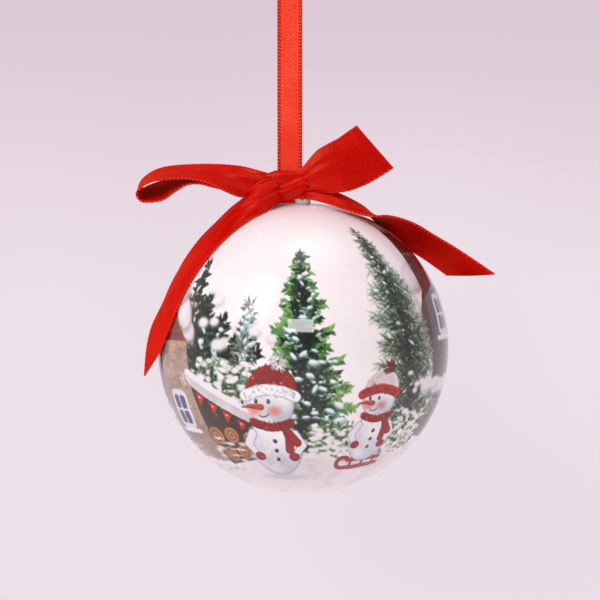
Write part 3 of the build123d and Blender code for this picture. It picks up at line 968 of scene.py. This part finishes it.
print_material, print_shader, ink = new_material(
    "lacquered_print",
    Roughness=0.5,
    Specular_IOR_Level=0.1,
    Coat_Weight=1.0,
    Coat_Roughness=0.03,
    Coat_IOR=1.5,
)
ink_colour = ink.node("VertexColor", layer_name="print")
paper_fibre, paper_cloud = grain(ink, 900.0, 4.0), grain(ink, 45.0, 2.0)
inked = ink.node("Gamma", {"Color": ink_colour, "Gamma": 1.3})
grained = mixed(paper_fibre * 0.02, inked, (0.9, 0.86, 0.86, 1))
grained = mixed(paper_cloud * 0.12, grained, (0.95, 0.88, 0.9, 1), "MULTIPLY")
paper_bump = ink.node("Bump", {"Strength": 0.25, "Distance": 0.00003, "Height": paper_fibre})
feed(print_shader, Base_Color=grained, Roughness=0.42 + paper_fibre * 0.15, Normal=paper_bump)

third = math.tau / 3
lit_by_small = bpy.data.collections.new("lit_by_small_softbox")
lit_by_small.objects.link(hanging_loop)
for turn, node in enumerate(("print_panel_1", "print_panel_2", "print_panel_3")):
    lit_by_small.objects.link(add_panel(node, seam_azimuth + turn * third, artwork, print_material))

# Foam core: a moulded ball of expanded foam, which the panels are glued to. Its beads show in the seat
# and in the hole for the peg.
foam_material, foam_shader, foam = new_material("foam_beads", Roughness=0.8, Specular_IOR_Level=0.3)
foam_grid = {"Vector": foam.node("TexCoord", out=3), "Scale": 420.0}
foam_bead = foam.node("TexVoronoi", foam_grid, feature="DISTANCE_TO_EDGE")
foam_colour = mixed(fade(foam_bead, 0.0, 0.16), (0.66, 0.66, 0.67, 1), (0.9, 0.9, 0.9, 1))
foam_colour = mixed(grain(foam, 120.0, 3.0) * 0.2, foam_colour, (0.82, 0.82, 0.8, 1))
foam_bump = foam.node("Bump", {"Strength": 0.8, "Distance": 0.0003, "Height": fade(foam_bead, 0.0, 0.25)})
feed(foam_shader, Base_Color=foam_colour, Normal=foam_bump)


def refinish(node, material):
    """Keep a CAD piece's shape and give it a new material."""
    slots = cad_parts[node].data.materials
    slots.clear()
    slots.append(material)


refinish("foam_core", foam_material)

# Hanger peg: one moulding in clear plastic, a flange with a barbed stem below and a bail above. It is
# pushed into the foam.
def clear_plastic(name, scale, swirl, least_rough, pale, relief, **finish):
    """Clear plastic with the marks of its flow: a shift of tone, gloss and relief, at that scale."""
    material, shader, start = new_material(name, Specular_IOR_Level=0.5, **finish)
    flow = grain(start, scale, 2.0, swirl)
    bump = start.node("Bump", {"Strength": relief, "Distance": 0.0001, "Height": flow})
    rough = least_rough + flow * (0.2 - least_rough)
    feed(shader, Base_Color=mixed(flow, pale, (0.9, 0.9, 0.92, 1)), Roughness=rough, Normal=bump)
    return material


peg_finish = {"IOR": 1.5, "Transmission_Weight": 0.12}
peg_material = clear_plastic("clear_moulding", 300.0, 1.0, 0.06, (0.97, 0.96, 0.97, 1), 0.2, **peg_finish)
refinish("hanger_peg", peg_material)

# Glue: a clear bead of hot-melt glue under the knot. It holds the bow on the flange and the ball.
glue_finish = {"IOR": 1.48, "Transmission_Weight": 0.3}
glue_material = clear_plastic("hot_glue", 600.0, 0.0, 0.05, (0.98, 0.97, 0.97, 1), 0.4, **glue_finish)
glue_low, glue_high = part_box("glue_bead")
glue_middle = (glue_low + glue_high) / 2
glue_half = (glue_high - glue_low) / 2
blob_turns, blob_rows = 48, 24
down = math.pi * np.arange(1, blob_rows)[:, None] / blob_rows
about = math.tau * np.arange(blob_turns)[None, :] / blob_turns
belts = np.stack([np.sin(down) * np.cos(about), np.sin(down) * np.sin(about), np.cos(down) + 0 * about], -1)
blob = [
    glue_middle + Vector(a * b * (0.92 + 0.2 * noise.noise(Vector(p) * 1.7)) for a, b in zip(p, glue_half))
    for p in [(0, 0, 1), *belts.reshape(-1, 3), (0, 0, -1)]
]
blob_grid = 1 + np.arange((blob_rows - 1) * blob_turns).reshape(blob_rows - 1, blob_turns)
blob_grid = np.hstack([blob_grid, blob_grid[:, :1]])
blob_faces = [list(face) for face in quads(blob_grid)]
blob_faces += [[0, blob_grid[0, turn], blob_grid[0, turn + 1]] for turn in range(blob_turns)]
blob_faces += [[len(blob) - 1, blob_grid[-1, turn + 1], blob_grid[-1, turn]] for turn in range(blob_turns)]
glue_piece = add_piece("glue_blob", blob, blob_faces, glue_material)
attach(glue_piece, "ball")
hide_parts("glue_bead")

# Studio: a pale pink sweep, well below and behind the ball, that runs from the floor up into the backdrop.
# It glows as painted light on the ball, with painted shade high on the backdrop and at the front of the
# floor.
sweep_material, sweep_shader, sweep = new_material("studio_sweep", Roughness=1.0, Specular_IOR_Level=0.0)
# Painted light: the sweep has no colour of its own and glows, lighting the ball from below and behind.
sweep_shader.inputs["Base Color"].default_value = (0.0, 0.0, 0.0, 1)
sweep_shader.inputs["Emission Strength"].default_value = 1.0
sweep_back, sweep_up = (sweep.node("SeparateXYZ", {0: sweep.node("NewGeometry")}, out) for out in (1, 2))
sweep_cloud = grain(sweep, 3.0, 1.0)
sweep_middle = mixed(fade(sweep_cloud, 0.3, 0.7), (0.83, 0.72, 0.79, 1), (0.87, 0.77, 0.83, 1))
# Painted shade: the glow grows darker higher up the backdrop.
sweep_glow_shaded_above = mixed(fade(sweep_up, -0.13, 0.15), sweep_middle, (0.71, 0.58, 0.66, 1))
# Painted shade: the floor's glow grows darker towards the front.
floor_glow_shaded_in_front = mixed(fade(sweep_back, -3.5, -0.7), (0.5, 0.45, 0.47, 1), (0.95, 0.85, 0.88, 1))
feed(sweep_shader, Emission_Color=mixed(fade(sweep_up, -0.45, -0.4), floor_glow_shaded_in_front, sweep_glow_shaded_above))
floor_z, bend_r = -0.45, 0.5
bend = np.radians(np.linspace(6, 84, 14))
sweep_line = [(-6.0, floor_z), (-1.0, floor_z), (0.5, floor_z)]
sweep_line += [(0.5 + bend_r * math.sin(a), floor_z + bend_r - bend_r * math.cos(a)) for a in bend]
sweep_line += [(1.0, 0.05), (1.0, 1.3)]
sweep_points = [(x, y, z) for y, z in sweep_line for x in (-3.0, 3.0)]
sweep_grid = np.arange(len(sweep_points)).reshape(-1, 2)
sweep_piece = add_piece("studio_sweep", sweep_points, quads(sweep_grid), sweep_material)
sweep_piece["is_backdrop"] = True

# Lights: a tall softbox at the front left, a low one at the left, a small one over the camera that glints
# in the lacquer, a soft top light and a pale room.
def add_light(name, place, wide, high, watts, soft):
    """A rectangular softbox aimed at the ball, which fades towards its rim over that share of its size."""
    light = bpy.data.objects.new(name, bpy.data.lights.new(name, "AREA"))
    light.data.shape = "RECTANGLE"
    light.data.size, light.data.size_y = wide, high
    light.data.energy = watts
    light.location = place
    light.rotation_euler = (Vector(ball_middle / 1000) - Vector(place)).to_track_quat("-Z", "Y").to_euler()
    light.data.use_nodes = True
    cover = Socket(light.data.node_tree)
    spot = cover.node("NewGeometry", out=5)
    rims = [fade(0.5 - abs(cover.node("SeparateXYZ", {0: spot}, out) - 0.5), 0, soft) for out in (0, 1)]
    feed(light.data.node_tree.nodes["Emission"], Strength=rims[0] * rims[1])
    scene.collection.objects.link(light)
    return light


add_light("key_softbox", (-0.5, -0.54, 0.45), 0.5, 0.85, 12.5, 0.5)
add_light("left_softbox", (-0.75, 0.12, -0.02), 0.6, 0.9, 0.9, 0.5)
small_softbox = add_light("small_softbox", (-0.016, -0.563, 0.101), 0.21, 0.107, 0.9, 0.03)
small_softbox.light_linking.receiver_collection = lit_by_small  # the bow is kept out of it
add_light("top_softbox", (0.05, -0.05, 0.55), 0.7, 0.6, 3.2, 0.5)
room = bpy.data.worlds.new("room")
room.use_nodes = True
room_glow = room.node_tree.nodes["Background"]
room_glow.inputs["Color"].default_value = (0.95, 0.87, 0.91, 1)
walls = Socket(room.node_tree)
aside = walls.node("SeparateXYZ", {0: walls.node("TexCoord")}, 1)
feed(room_glow, Strength=0.15 + 0.38 * fade(aside, -0.95, -0.2))
scene.world = room

(cad_low, cad_high), (low, high) = cad_box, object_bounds()
{"cad": [list(cad_low), list(cad_high)], "visual": [list(low), list(high)]}
